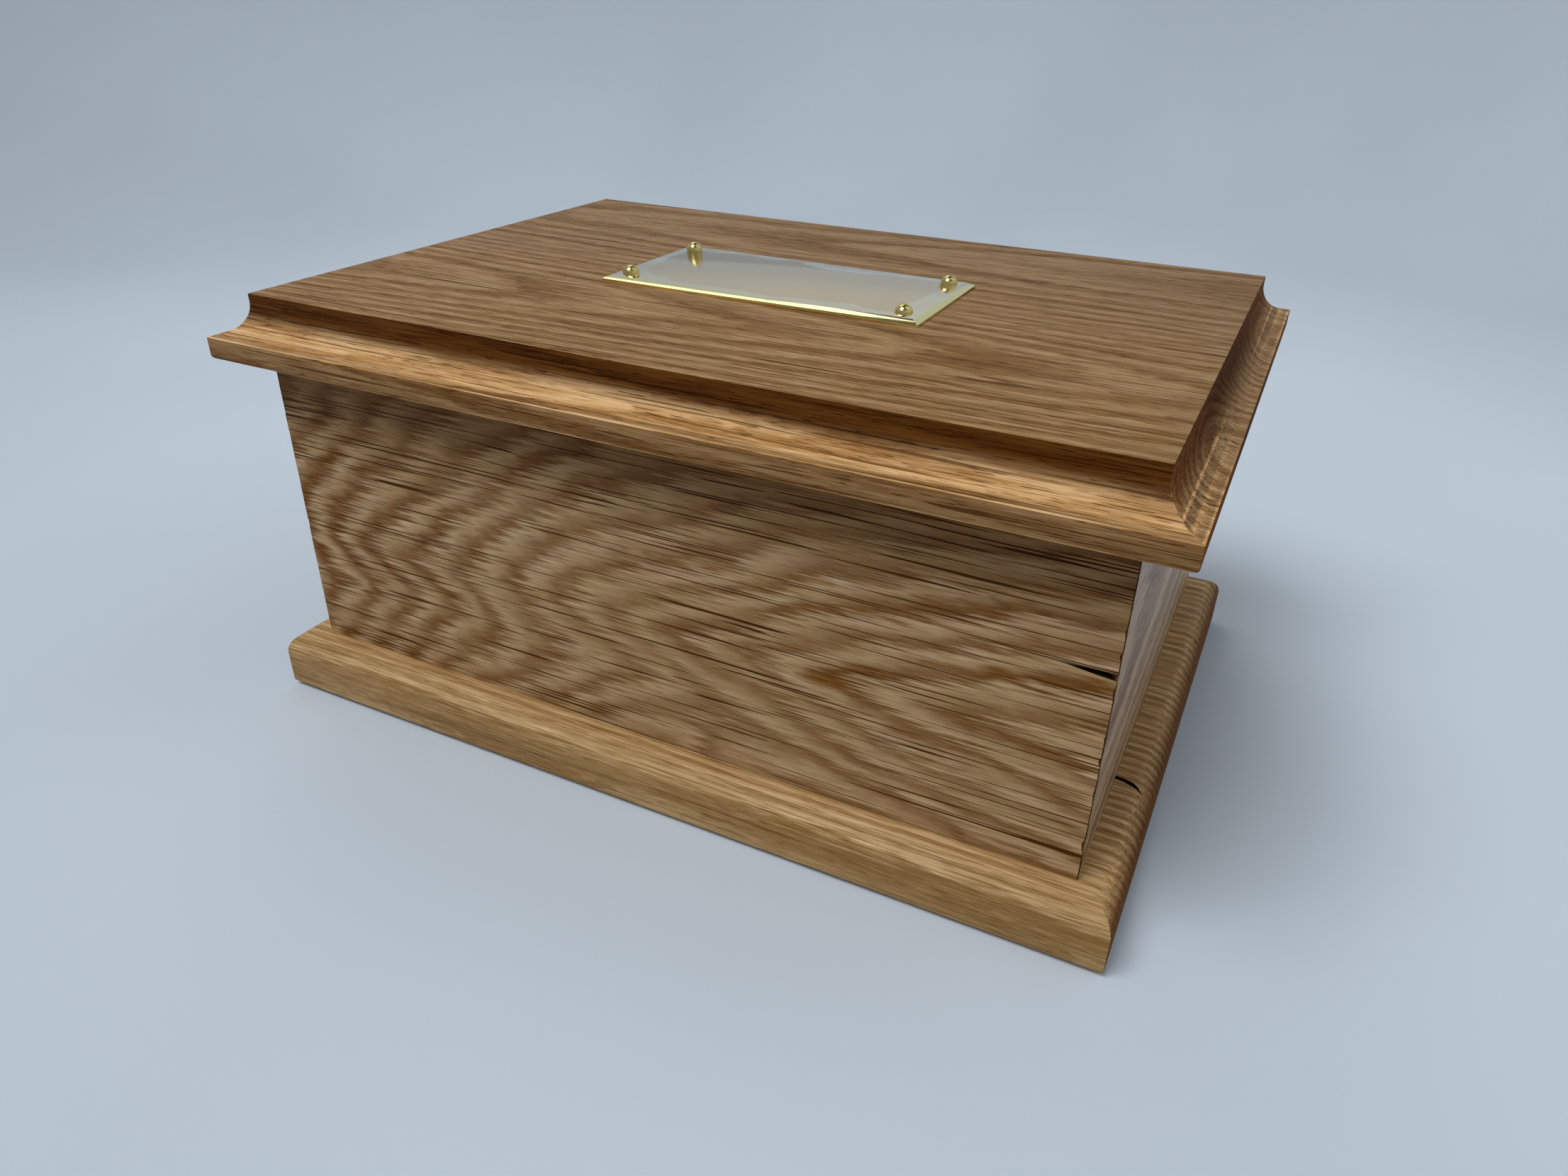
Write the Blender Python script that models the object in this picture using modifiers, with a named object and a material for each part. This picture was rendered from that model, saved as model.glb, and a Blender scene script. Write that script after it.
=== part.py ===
"""Solid oak memorial casket with a moulded lift-off lid, a moulded base and a bevelled brass name plate.

Metres, +Z up. The origin is on the ground under the middle of the casket: +X runs along the long
side, towards the right end, and -Y is the front. The lid and all that it carries hang from one
empty, lid_lift, which stands on the lid's underside.
"""

import math

import bmesh
import bpy

# ---- driving dimensions -------------------------------------------------------------------------
GAP = 0.0003                   # left between pieces that touch

BODY_LENGTH = 0.2512           # over the outside of the two end boards
BODY_WIDTH = 0.1745            # over the outside of the front and back boards
BOARD_HEIGHT = 0.0942
BOARD_THICKNESS = 0.015

LID_THICKNESS = 0.018
LID_END_OVERHANG = 0.0119      # past the end boards
LID_SIDE_OVERHANG = 0.0112     # past the front and back boards
LID_BAND = 0.0063              # the plain edge below the cove
LID_COVE_RADIUS = 0.0093
LID_EASE = 0.001               # the lid's bottom edge, softened
LID_JOINT_Y = -0.0064          # glue line between the lid's two staves

BASE_THICKNESS = 0.018
BASE_END_OVERHANG = 0.0112
BASE_SIDE_OVERHANG = 0.0097
BASE_ROUND_OVER = 0.0065
BASE_EASE = 0.0008
BASE_JOINT_Y = 0.022           # glue line between the base's two staves

BAIZE_THICKNESS = 0.0008
BAIZE_INSET = 0.005            # in from the base's edge
BAIZE_CORNER = 0.004

BLOCK_LEG = 0.015              # of the triangular glue blocks in the corners
BLOCK_NOSE = 0.0025            # taken off the square corner, to clear the glue
BLOCK_BELOW_BATTEN = 0.004

BATTEN_WIDTH = 0.012
BATTEN_DEPTH = 0.009
BATTEN_CLEARANCE = 0.001       # between the battens and the boards that they drop inside
BATTEN_EASE = 0.0015

PLATE_LENGTH = 0.1016
PLATE_WIDTH = 0.0508
PLATE_THICKNESS = 0.0015
PLATE_BEVEL = 0.0025           # how far in the bevelled edge runs
PLATE_RIM = 0.0007             # the upright edge below the bevel

PIN_INSET = 0.0064             # from the plate's edges to each pin
PIN_HEAD_RADIUS = 0.0026
PIN_HEAD_HEIGHT = 0.0024
PIN_RADIUS = 0.0009
PIN_LENGTH = 0.0125            # below the head
PIN_POINT = 0.002

BASE_SCREW_LENGTH = 0.038
BASE_SCREW_RADIUS = 0.002
BASE_SCREW_HEAD_RADIUS = 0.004
BASE_SCREW_END_MARGIN = 0.032  # from the casket's corner to the outer screws of a long board

BATTEN_SCREW_LENGTH = 0.019
BATTEN_SCREW_RADIUS = 0.00165
BATTEN_SCREW_HEAD_RADIUS = 0.0031
BATTEN_SCREW_END_MARGIN = 0.024

HEAD_RECESS = 0.0005           # how far the screw heads lie below the surface
HEAD_RIM = 0.0003              # the upright edge of a countersunk head
SLOT_WIDTH = 0.0009
SLOT_DEPTH = 0.0009
SCREW_POINT = 0.004

ARC_STEPS = 8                  # facets in each quarter circle of moulding
EASE_STEPS = 2
TURN_STEPS = 16                # facets round a fastener
MERGE = 0.00001
CUT_PAST = 0.002               # how far a cutter runs past the face that it opens

# ---- places worked out from them ----------------------------------------------------------------
BASE_BOTTOM = BAIZE_THICKNESS + GAP
BASE_TOP = BASE_BOTTOM + BASE_THICKNESS
BOARD_BOTTOM = BASE_TOP + GAP
BOARD_TOP = BOARD_BOTTOM + BOARD_HEIGHT
LID_BOTTOM = BOARD_TOP + GAP
LID_TOP = LID_BOTTOM + LID_THICKNESS
BATTEN_TOP = LID_BOTTOM - GAP
BATTEN_BOTTOM = BATTEN_TOP - BATTEN_DEPTH
PLATE_BOTTOM = LID_TOP + GAP
PLATE_TOP = PLATE_BOTTOM + PLATE_THICKNESS

LID_LENGTH = BODY_LENGTH + 2 * LID_END_OVERHANG
LID_WIDTH = BODY_WIDTH + 2 * LID_SIDE_OVERHANG
BASE_LENGTH = BODY_LENGTH + 2 * BASE_END_OVERHANG
BASE_WIDTH = BODY_WIDTH + 2 * BASE_SIDE_OVERHANG
INSIDE_LENGTH = BODY_LENGTH - 2 * BOARD_THICKNESS
INSIDE_WIDTH = BODY_WIDTH - 2 * BOARD_THICKNESS
BATTEN_FRAME_LENGTH = INSIDE_LENGTH - 2 * BATTEN_CLEARANCE
BATTEN_FRAME_WIDTH = INSIDE_WIDTH - 2 * BATTEN_CLEARANCE

OAK_LID = (0.42, 0.24, 0.11)
OAK_BODY = (0.45, 0.27, 0.13)
OAK_BASE = (0.48, 0.28, 0.13)
OAK_INSIDE = (0.50, 0.33, 0.18)
BRASS = (0.80, 0.62, 0.28)
BAIZE = (0.05, 0.10, 0.07)


# ---- making and placing objects -----------------------------------------------------------------
def clear_scene():
    for obj in list(bpy.data.objects):
        bpy.data.objects.remove(obj, do_unlink=True)


def new_collection(name, parent):
    collection = bpy.data.collections.new(name)
    parent.children.link(collection)
    return collection


def finish_material(name, colour, roughness, metallic=0.0):
    material = bpy.data.materials.new(name)
    material.use_nodes = True
    shader = material.node_tree.nodes["Principled BSDF"]
    shader.inputs["Base Color"].default_value = (*colour, 1.0)
    shader.inputs["Roughness"].default_value = roughness
    shader.inputs["Metallic"].default_value = metallic
    return material


def mesh_from(bm, name):
    bmesh.ops.recalc_face_normals(bm, faces=bm.faces[:])
    mesh = bpy.data.meshes.new(name)
    bm.to_mesh(mesh)
    bm.free()
    return mesh


def add_piece(name, data, colour, roughness, metallic=0.0, at=(0, 0, 0), turn=0.0, parent=None):
    """A piece of the casket, turned about Z and placed. Under lid_lift, heights still count from the ground."""
    piece = bpy.data.objects.new(name, data)
    casket.objects.link(piece)
    piece.location = at
    piece.rotation_euler.z = turn
    if parent:
        piece.parent = parent
        piece.location.z -= parent.location.z
    if not data.materials:
        data.materials.append(None)
    piece.material_slots[0].link = "OBJECT"
    piece.material_slots[0].material = finish_material(name, colour, roughness, metallic)
    return piece


def add_empty(name, height):
    empty = bpy.data.objects.new(name, None)
    casket.objects.link(empty)
    empty.location.z = height
    return empty


def cut_holes(piece, holes):
    """Takes every cutter of one collection out of a piece."""
    cut = piece.modifiers.new(holes.name, "BOOLEAN")
    cut.operation = "DIFFERENCE"
    cut.operand_type = "COLLECTION"
    cut.collection = holes
    cut.solver = "EXACT"


# ---- shapes -------------------------------------------------------------------------------------
def block(length, width, height):
    """A box on the plane z = 0, centred in X and Y."""
    bm = bmesh.new()
    bmesh.ops.create_cube(bm, size=1.0)
    bmesh.ops.scale(bm, vec=(length, width, height), verts=bm.verts[:])
    bmesh.ops.translate(bm, vec=(0, 0, height / 2), verts=bm.verts[:])
    return bm


def ease_edges(bm, edges, width):
    bmesh.ops.bevel(bm, geom=edges, offset=width, segments=EASE_STEPS, profile=0.5, affect="EDGES")


def bottom_edges(bm):
    return [edge for edge in bm.edges if all(abs(vert.co.z) < MERGE for vert in edge.verts)]


def upright_edges(bm):
    return [
        edge
        for edge in bm.edges
        if max(abs(edge.verts[0].co[axis] - edge.verts[1].co[axis]) for axis in (0, 1)) < MERGE
    ]


def raise_top(bm, inset, rise):
    """Carries the top face in by inset on every side and up by rise, with a new band of faces below it."""
    top = max(bm.faces, key=lambda face: face.calc_center_median().z)
    bmesh.ops.inset_region(bm, faces=[top], thickness=inset, use_even_offset=True)
    bmesh.ops.translate(bm, vec=(0, 0, rise), verts=top.verts[:])


def raise_along(bm, outline):
    """Runs the top face up a moulding, given as (inset, height) points from the top of the block."""
    for (inset, height), (next_inset, next_height) in zip(outline, outline[1:]):
        raise_top(bm, next_inset - inset, next_height - height)


def quarter_turn(steps):
    return [math.pi / 2 * step / steps for step in range(steps + 1)]


def cove(radius):
    """A hollow quarter circle, leaving the band level and ending upright."""
    return [(radius * math.sin(a), radius * (1 - math.cos(a))) for a in quarter_turn(ARC_STEPS)]


def round_over(radius):
    """A full quarter circle, leaving the edge upright and ending level."""
    return [(radius * (1 - math.cos(a)), radius * math.sin(a)) for a in quarter_turn(ARC_STEPS)]


def stave_of(bm, joint_y, side):
    """Keeps the front (side -1) or the back (side 1) of a moulded board, cut at its glue line."""
    cut = bmesh.ops.bisect_plane(
        bm,
        geom=bm.verts[:] + bm.edges[:] + bm.faces[:],
        dist=MERGE,
        plane_co=(0, joint_y + side * GAP / 2, 0),
        plane_no=(0, -side, 0),
        clear_outer=True,
    )
    rim = [item for item in cut["geom_cut"] if isinstance(item, bmesh.types.BMEdge)]
    bmesh.ops.edgeloop_fill(bm, edges=rim)
    return bm


def turned_mesh(name, outline):
    """An outline in the XZ plane, from its top on the axis, down its outer side, to its bottom."""
    bm = bmesh.new()
    verts = [bm.verts.new((radius, 0, height)) for radius, height in outline]
    for above, below in zip(verts, verts[1:]):
        bm.edges.new((above, below))
    mesh = bpy.data.meshes.new(name)
    bm.to_mesh(mesh)
    bm.free()
    return mesh


def turn_round(obj):
    spin = obj.modifiers.new("turn", "SCREW")
    spin.axis = "Z"
    spin.steps = TURN_STEPS
    spin.render_steps = TURN_STEPS
    spin.use_merge_vertices = True
    spin.merge_threshold = MERGE
    spin.use_smooth_shade = True


def add_cutter(name, mesh, holes, at=(0, 0, 0), turned=True):
    cutter = bpy.data.objects.new(name, mesh)
    holes.objects.link(cutter)
    cutter.location = at
    cutter.hide_render = True
    cutter.display_type = "WIRE"
    if turned:
        turn_round(cutter)
    return cutter


# ---- fasteners ----------------------------------------------------------------------------------
def screw_outline(length, radius, head_radius):
    """A countersunk wood screw, its head's face on z = 0 and its point upwards."""
    neck = HEAD_RIM + head_radius - radius
    return [
        (0, length),
        (radius, length - SCREW_POINT),
        (radius, neck),
        (head_radius, HEAD_RIM),
        (head_radius, 0),
        (0, 0),
    ]


def screw_hole_outline(length, radius, head_radius):
    """The room for that screw, GAP wider all round, open below the head."""
    neck = HEAD_RIM + head_radius - radius
    return [
        (0, length + GAP),
        (radius + GAP, length + GAP),
        (radius + GAP, neck + GAP),
        (head_radius + GAP, HEAD_RIM + GAP),
        (head_radius + GAP, -CUT_PAST),
        (0, -CUT_PAST),
    ]


def pin_outline():
    """A domed escutcheon pin, the underside of its head on z = 0."""
    sphere = (PIN_HEAD_RADIUS**2 + PIN_HEAD_HEIGHT**2) / (2 * PIN_HEAD_HEIGHT)
    dome = [
        (math.sqrt(sphere**2 - (sphere - drop) ** 2), PIN_HEAD_HEIGHT - drop)
        for drop in (PIN_HEAD_HEIGHT * (1 - math.cos(a)) for a in quarter_turn(ARC_STEPS))
    ]
    shank = [
        (PIN_RADIUS, 0),
        (PIN_RADIUS, PIN_POINT - PIN_LENGTH),
        (0, -PIN_LENGTH),
    ]
    return dome + shank


def pin_hole_outline():
    radius = PIN_RADIUS + GAP
    return [(0, CUT_PAST), (radius, CUT_PAST), (radius, -PIN_LENGTH - GAP), (0, -PIN_LENGTH - GAP)]


def finished_mesh(master):
    """The mesh that an object's modifiers make, for the copies that share it. The object is removed."""
    graph = bpy.context.evaluated_depsgraph_get()
    mesh = bpy.data.meshes.new_from_object(master.evaluated_get(graph))
    bpy.data.objects.remove(master, do_unlink=True)
    return mesh


def slotted_screw_mesh(name, outline, head_radius):
    """A screw with a screwdriver slot cut across its head."""
    slot_block = block(2 * head_radius + CUT_PAST, SLOT_WIDTH, SLOT_DEPTH + CUT_PAST)
    slots = new_collection(f"{name}_slot", cutters)
    add_cutter(f"{name}_slot", mesh_from(slot_block, f"{name}_slot"), slots, (0, 0, -CUT_PAST), turned=False)
    master = bpy.data.objects.new(name, turned_mesh(name, outline))
    cutters.objects.link(master)
    turn_round(master)
    cut_holes(master, slots)
    return finished_mesh(master)


def add_fasteners(name, mesh, hole_mesh, holes, places, parent=None):
    """Numbered copies of one fastener, and the cutter for each one's hole."""
    for number, place in enumerate(places, 1):
        add_piece(f"{name}_{number}", mesh, BRASS, 0.3, 1.0, at=place, parent=parent)
        add_cutter(f"{name}_hole_{number}", hole_mesh, holes, place)


# ---- the pieces ---------------------------------------------------------------------------------
def moulded_base():
    bm = block(BASE_LENGTH, BASE_WIDTH, BASE_THICKNESS - BASE_ROUND_OVER)
    ease_edges(bm, bottom_edges(bm), BASE_EASE)
    raise_along(bm, round_over(BASE_ROUND_OVER))
    return bm


def moulded_lid():
    bm = block(LID_LENGTH, LID_WIDTH, LID_BAND)
    ease_edges(bm, bottom_edges(bm), LID_EASE)
    raise_along(bm, cove(LID_COVE_RADIUS))
    raise_top(bm, 0, LID_THICKNESS - LID_BAND - LID_COVE_RADIUS)
    return bm


def mitred_board(length):
    """A board along X, its outer face on y = 0 and its ends cut back at 45 degrees."""
    bm = block(length - 2 * GAP / math.sqrt(2), BOARD_THICKNESS, BOARD_HEIGHT)
    bmesh.ops.translate(bm, vec=(0, BOARD_THICKNESS / 2, 0), verts=bm.verts[:])
    for vert in bm.verts:
        vert.co.x -= math.copysign(vert.co.y, vert.co.x)
    return bm


def add_base():
    for name, side in (("base_front_stave", -1), ("base_back_stave", 1)):
        mesh = mesh_from(stave_of(moulded_base(), BASE_JOINT_Y, side), name)
        stave = add_piece(name, mesh, OAK_BASE, 0.4, at=(0, 0, BASE_BOTTOM))
        cut_holes(stave, base_screw_holes)


def add_baize():
    bm = block(BASE_LENGTH - 2 * BAIZE_INSET, BASE_WIDTH - 2 * BAIZE_INSET, BAIZE_THICKNESS)
    ease_edges(bm, upright_edges(bm), BAIZE_CORNER)
    add_piece("underside_baize", mesh_from(bm, "underside_baize"), BAIZE, 0.95)


def add_boards():
    long_side = BODY_WIDTH / 2
    short_side = BODY_LENGTH / 2
    boards = (
        ("front_board", BODY_LENGTH, (0, -long_side), 0.0),
        ("back_board", BODY_LENGTH, (0, long_side), math.pi),
        ("right_end_board", BODY_WIDTH, (short_side, 0), math.pi / 2),
        ("left_end_board", BODY_WIDTH, (-short_side, 0), -math.pi / 2),
    )
    for name, length, (x, y), turn in boards:
        mesh = mesh_from(mitred_board(length), name)
        board = add_piece(name, mesh, OAK_BODY, 0.4, at=(x, y, BOARD_BOTTOM), turn=turn)
        cut_holes(board, base_screw_holes)


def add_base_screws():
    """Three up into each long board and one into each end board, through the base."""
    outline_sizes = (BASE_SCREW_LENGTH, BASE_SCREW_RADIUS, BASE_SCREW_HEAD_RADIUS)
    mesh = slotted_screw_mesh("base_screw", screw_outline(*outline_sizes), BASE_SCREW_HEAD_RADIUS)
    hole_mesh = turned_mesh("base_screw_hole", screw_hole_outline(*outline_sizes))
    x_outer = BODY_LENGTH / 2 - BASE_SCREW_END_MARGIN
    x_end = (BODY_LENGTH - BOARD_THICKNESS) / 2
    y_long = (BODY_WIDTH - BOARD_THICKNESS) / 2
    height = BASE_BOTTOM + HEAD_RECESS
    places = [(x, y, height) for y in (-y_long, y_long) for x in (-x_outer, 0, x_outer)]
    places += [(-x_end, 0, height), (x_end, 0, height)]
    add_fasteners("base_screw", mesh, hole_mesh, base_screw_holes, places)


def add_corner_blocks():
    """Right-angled glue blocks, one outline turned into each inside corner."""
    outline = bpy.data.curves.new("corner_block", "CURVE")
    outline.dimensions = "2D"
    outline.fill_mode = "BOTH"
    top = BATTEN_BOTTOM - BLOCK_BELOW_BATTEN
    outline.extrude = (top - BASE_TOP - GAP) / 2
    spline = outline.splines.new("POLY")
    corners = ((BLOCK_NOSE, 0), (BLOCK_LEG, 0), (0, BLOCK_LEG), (0, BLOCK_NOSE))
    spline.points.add(len(corners) - 1)
    for point, (x, y) in zip(spline.points, corners):
        point.co = (x, y, 0, 1)
    spline.use_cyclic_u = True
    x_corner = INSIDE_LENGTH / 2 - GAP
    y_corner = INSIDE_WIDTH / 2 - GAP
    height = BASE_TOP + GAP + outline.extrude
    places = (
        ("front_left", -x_corner, -y_corner, 0.0),
        ("front_right", x_corner, -y_corner, math.pi / 2),
        ("back_right", x_corner, y_corner, math.pi),
        ("back_left", -x_corner, y_corner, -math.pi / 2),
    )
    for corner, x, y, turn in places:
        add_piece(f"corner_block_{corner}", outline, OAK_INSIDE, 0.6, at=(x, y, height), turn=turn)


def add_lid(parent):
    for name, side in (("lid_front_stave", -1), ("lid_back_stave", 1)):
        mesh = mesh_from(stave_of(moulded_lid(), LID_JOINT_Y, side), name)
        stave = add_piece(name, mesh, OAK_LID, 0.4, at=(0, 0, LID_BOTTOM), parent=parent)
        cut_holes(stave, batten_screw_holes)
        cut_holes(stave, plate_pin_holes)


def add_battens(parent):
    """The frame under the lid that drops inside the boards: two long battens, and two short ones between."""
    short_length = BATTEN_FRAME_WIDTH - 2 * BATTEN_WIDTH - 2 * GAP
    y_long = (BATTEN_FRAME_WIDTH - BATTEN_WIDTH) / 2
    x_short = (BATTEN_FRAME_LENGTH - BATTEN_WIDTH) / 2
    battens = (
        ("lid_batten_front", BATTEN_FRAME_LENGTH, BATTEN_WIDTH, (0, -y_long)),
        ("lid_batten_back", BATTEN_FRAME_LENGTH, BATTEN_WIDTH, (0, y_long)),
        ("lid_batten_left", BATTEN_WIDTH, short_length, (-x_short, 0)),
        ("lid_batten_right", BATTEN_WIDTH, short_length, (x_short, 0)),
    )
    for name, length, width, (x, y) in battens:
        bm = block(length, width, BATTEN_DEPTH)
        ease_edges(bm, bottom_edges(bm), BATTEN_EASE)
        mesh = mesh_from(bm, name)
        batten = add_piece(name, mesh, OAK_INSIDE, 0.6, at=(x, y, BATTEN_BOTTOM), parent=parent)
        cut_holes(batten, batten_screw_holes)


def add_batten_screws(parent):
    outline_sizes = (BATTEN_SCREW_LENGTH, BATTEN_SCREW_RADIUS, BATTEN_SCREW_HEAD_RADIUS)
    mesh = slotted_screw_mesh("batten_screw", screw_outline(*outline_sizes), BATTEN_SCREW_HEAD_RADIUS)
    hole_mesh = turned_mesh("batten_screw_hole", screw_hole_outline(*outline_sizes))
    x_on_long = BATTEN_FRAME_LENGTH / 2 - BATTEN_SCREW_END_MARGIN
    y_on_long = (BATTEN_FRAME_WIDTH - BATTEN_WIDTH) / 2
    x_on_short = (BATTEN_FRAME_LENGTH - BATTEN_WIDTH) / 2
    y_on_short = BATTEN_FRAME_WIDTH / 2 - BATTEN_WIDTH - BATTEN_SCREW_END_MARGIN
    spots = [(x, y) for y in (-y_on_long, y_on_long) for x in (-x_on_long, x_on_long)]
    spots += [(x, y) for x in (-x_on_short, x_on_short) for y in (-y_on_short, y_on_short)]
    places = [(x, y, BATTEN_BOTTOM + HEAD_RECESS) for x, y in spots]
    add_fasteners("batten_screw", mesh, hole_mesh, batten_screw_holes, places, parent)


def add_name_plate(parent):
    bm = block(PLATE_LENGTH, PLATE_WIDTH, PLATE_RIM)
    raise_top(bm, PLATE_BEVEL, PLATE_THICKNESS - PLATE_RIM)
    mesh = mesh_from(bm, "name_plate")
    plate = add_piece("name_plate", mesh, BRASS, 0.12, 1.0, at=(0, 0, PLATE_BOTTOM), parent=parent)
    cut_holes(plate, plate_pin_holes)


def add_plate_pins(parent):
    master = bpy.data.objects.new("plate_pin", turned_mesh("plate_pin", pin_outline()))
    cutters.objects.link(master)
    turn_round(master)
    mesh = finished_mesh(master)
    hole_mesh = turned_mesh("plate_pin_hole", pin_hole_outline())
    x = PLATE_LENGTH / 2 - PIN_INSET
    y = PLATE_WIDTH / 2 - PIN_INSET
    height = PLATE_TOP + GAP
    places = [(-x, -y, height), (x, -y, height), (x, y, height), (-x, y, height)]
    add_fasteners("plate_pin", mesh, hole_mesh, plate_pin_holes, places, parent)


clear_scene()
casket = new_collection("oak_memorial_casket", bpy.context.scene.collection)
cutters = new_collection("cutters", bpy.context.scene.collection)
base_screw_holes = new_collection("base_screw_holes", cutters)
batten_screw_holes = new_collection("batten_screw_holes", cutters)
plate_pin_holes = new_collection("plate_pin_holes", cutters)
lid_lift = add_empty("lid_lift", LID_BOTTOM)

add_baize()
add_base()
add_boards()
add_base_screws()
add_corner_blocks()
add_lid(lid_lift)
add_battens(lid_lift)
add_batten_screws(lid_lift)
add_name_plate(lid_lift)
add_plate_pins(lid_lift)
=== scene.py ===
"""Looks of the oak memorial casket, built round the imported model.

Metres, +Z up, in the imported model's own frame: +X along the front, -Y towards the viewer. The oak's
grain is worked out in millimetres, because growth rings, pores and fibres are millimetre things.
"""

import math

import bmesh
import bpy
from mathutils import Matrix, Vector, noise


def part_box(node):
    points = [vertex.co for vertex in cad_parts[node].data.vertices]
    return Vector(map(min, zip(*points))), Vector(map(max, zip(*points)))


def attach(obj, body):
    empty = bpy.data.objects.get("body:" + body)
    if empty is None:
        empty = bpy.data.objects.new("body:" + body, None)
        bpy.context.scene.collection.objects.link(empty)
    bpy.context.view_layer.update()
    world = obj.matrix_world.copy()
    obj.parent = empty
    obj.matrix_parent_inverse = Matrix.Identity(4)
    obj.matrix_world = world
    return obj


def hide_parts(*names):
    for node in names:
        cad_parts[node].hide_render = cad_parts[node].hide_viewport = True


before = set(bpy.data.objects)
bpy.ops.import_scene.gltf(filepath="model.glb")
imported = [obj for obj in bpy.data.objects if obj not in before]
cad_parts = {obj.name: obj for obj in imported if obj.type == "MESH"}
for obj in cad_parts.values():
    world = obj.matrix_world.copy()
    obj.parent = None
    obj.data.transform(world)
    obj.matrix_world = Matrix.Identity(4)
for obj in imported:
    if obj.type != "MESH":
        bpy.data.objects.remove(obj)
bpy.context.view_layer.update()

# ---- sizes of the mouldings and edges, in metres ------------------------------------------------
MM = 0.001
LID_BAND = 6.3 * MM            # plain edge below the lid's cove
LID_COVE = 9.3 * MM
LID_EASE = 1.0 * MM
BASE_ROUND_OVER = 6.5 * MM
BASE_EASE = 0.8 * MM
BOARD_THICKNESS = 15 * MM
ARRIS = 0.35 * MM              # how far the sharp edges are sanded off
PLATE_RIM = 0.7 * MM
PLATE_BEVEL = 2.5 * MM
PLATE_ARRIS = 0.12 * MM
MITRE_ARRIS = 0.12 * MM
ARC_STEPS = 14
SLICE = 1.3 * MM               # height of one slice of a side board
SMOOTH_ANGLE = math.radians(28)
CORNER_ANGLE = math.radians(20)
ARRIS_ANGLE = math.radians(50)
TINY = 0.001 * MM


# ---- a short way to write node trees ------------------------------------------------------------
class Net:
    """Adds nodes to one tree and joins them up as they are made."""

    def __init__(self, tree):
        self.tree = tree

    def feed(self, socket, value):
        if isinstance(value, bpy.types.NodeSocket):
            self.tree.links.new(value, socket)
        else:
            socket.default_value = value

    def add(self, kind, inputs=(), **settings):
        node = self.tree.nodes.new(kind)
        for name, value in settings.items():
            setattr(node, name, value)
        for key, value in dict(inputs).items():
            self.feed(node.inputs[key], value)
        return node

    def math(self, operation, *values, clamp=False):
        node = self.add("ShaderNodeMath", enumerate(values), operation=operation, use_clamp=clamp)
        return node.outputs[0]

    def times(self, first, second):
        return self.math("MULTIPLY", first, second)

    def swing(self, unevenness, amount, start=0.0):
        """A value that noise pushes up and down by an amount."""
        return self.math("MULTIPLY_ADD", self.math("SUBTRACT", unevenness, 0.5), amount, start)

    def split(self, vector):
        return self.add("ShaderNodeSeparateXYZ", {0: vector}).outputs

    def join(self, *values):
        return self.add("ShaderNodeCombineXYZ", enumerate(values)).outputs[0]

    def scaled(self, vector, scale, shift=(0, 0, 0)):
        settings = {"Vector": vector, "Scale": scale, "Location": shift}
        return self.add("ShaderNodeMapping", settings).outputs[0]

    def noise(self, vector, detail=1.0, roughness=0.5):
        settings = {"Vector": vector, "Scale": 1.0, "Detail": detail, "Roughness": roughness}
        return self.add("ShaderNodeTexNoise", settings).outputs[0]

    def grade(self, value, low, high, to_low=0.0, to_high=1.0, smooth=True):
        """Carries low..high over to to_low..to_high, held at both ends."""
        kind = "SMOOTHSTEP" if smooth else "LINEAR"
        settings = {0: value, 1: low, 2: high, 3: to_low, 4: to_high}
        return self.add("ShaderNodeMapRange", settings, interpolation_type=kind).outputs[0]

    def blend(self, factor, first, second, how="MIX"):
        settings = {0: factor, 6: first, 7: second}
        return self.add("ShaderNodeMix", settings, data_type="RGBA", blend_type=how).outputs[2]

    def shade(self, colour, amount):
        """A colour made lighter or darker by a number."""
        settings = {0: colour, "Scale": amount}
        return self.add("ShaderNodeVectorMath", settings, operation="SCALE").outputs[0]

    def bump(self, strength, depth, height):
        """A normal for the shader, from a height mask that is depth millimetres deep."""
        settings = {"Strength": strength, "Distance": depth * MM, "Height": height}
        return self.add("ShaderNodeBump", settings).outputs[0]

    def choose(self, switch, if_off, if_on):
        settings = {0: switch, 1: if_off, 2: if_on}
        return self.add("GeometryNodeSwitch", settings, input_type="FLOAT").outputs[0]


def new_group(name, kind, inputs, outputs):
    """An empty node group with named sockets. Gives its Net, its inputs and its output node."""
    tree = bpy.data.node_groups.new(name, kind)
    for label, (socket, value) in inputs.items():
        made = tree.interface.new_socket(label, in_out="INPUT", socket_type=socket)
        if value is not None:
            made.default_value = value
    for label, socket in outputs.items():
        tree.interface.new_socket(label, in_out="OUTPUT", socket_type=socket)
    net = Net(tree)
    given = net.add("NodeGroupInput").outputs
    result = net.add("NodeGroupOutput")
    return net, given, result


FLOAT = "NodeSocketFloat"
VECTOR = "NodeSocketVector"
COLOUR = "NodeSocketColor"
GEOMETRY = "NodeSocketGeometry"
MATERIAL = "NodeSocketMaterial"


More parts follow.
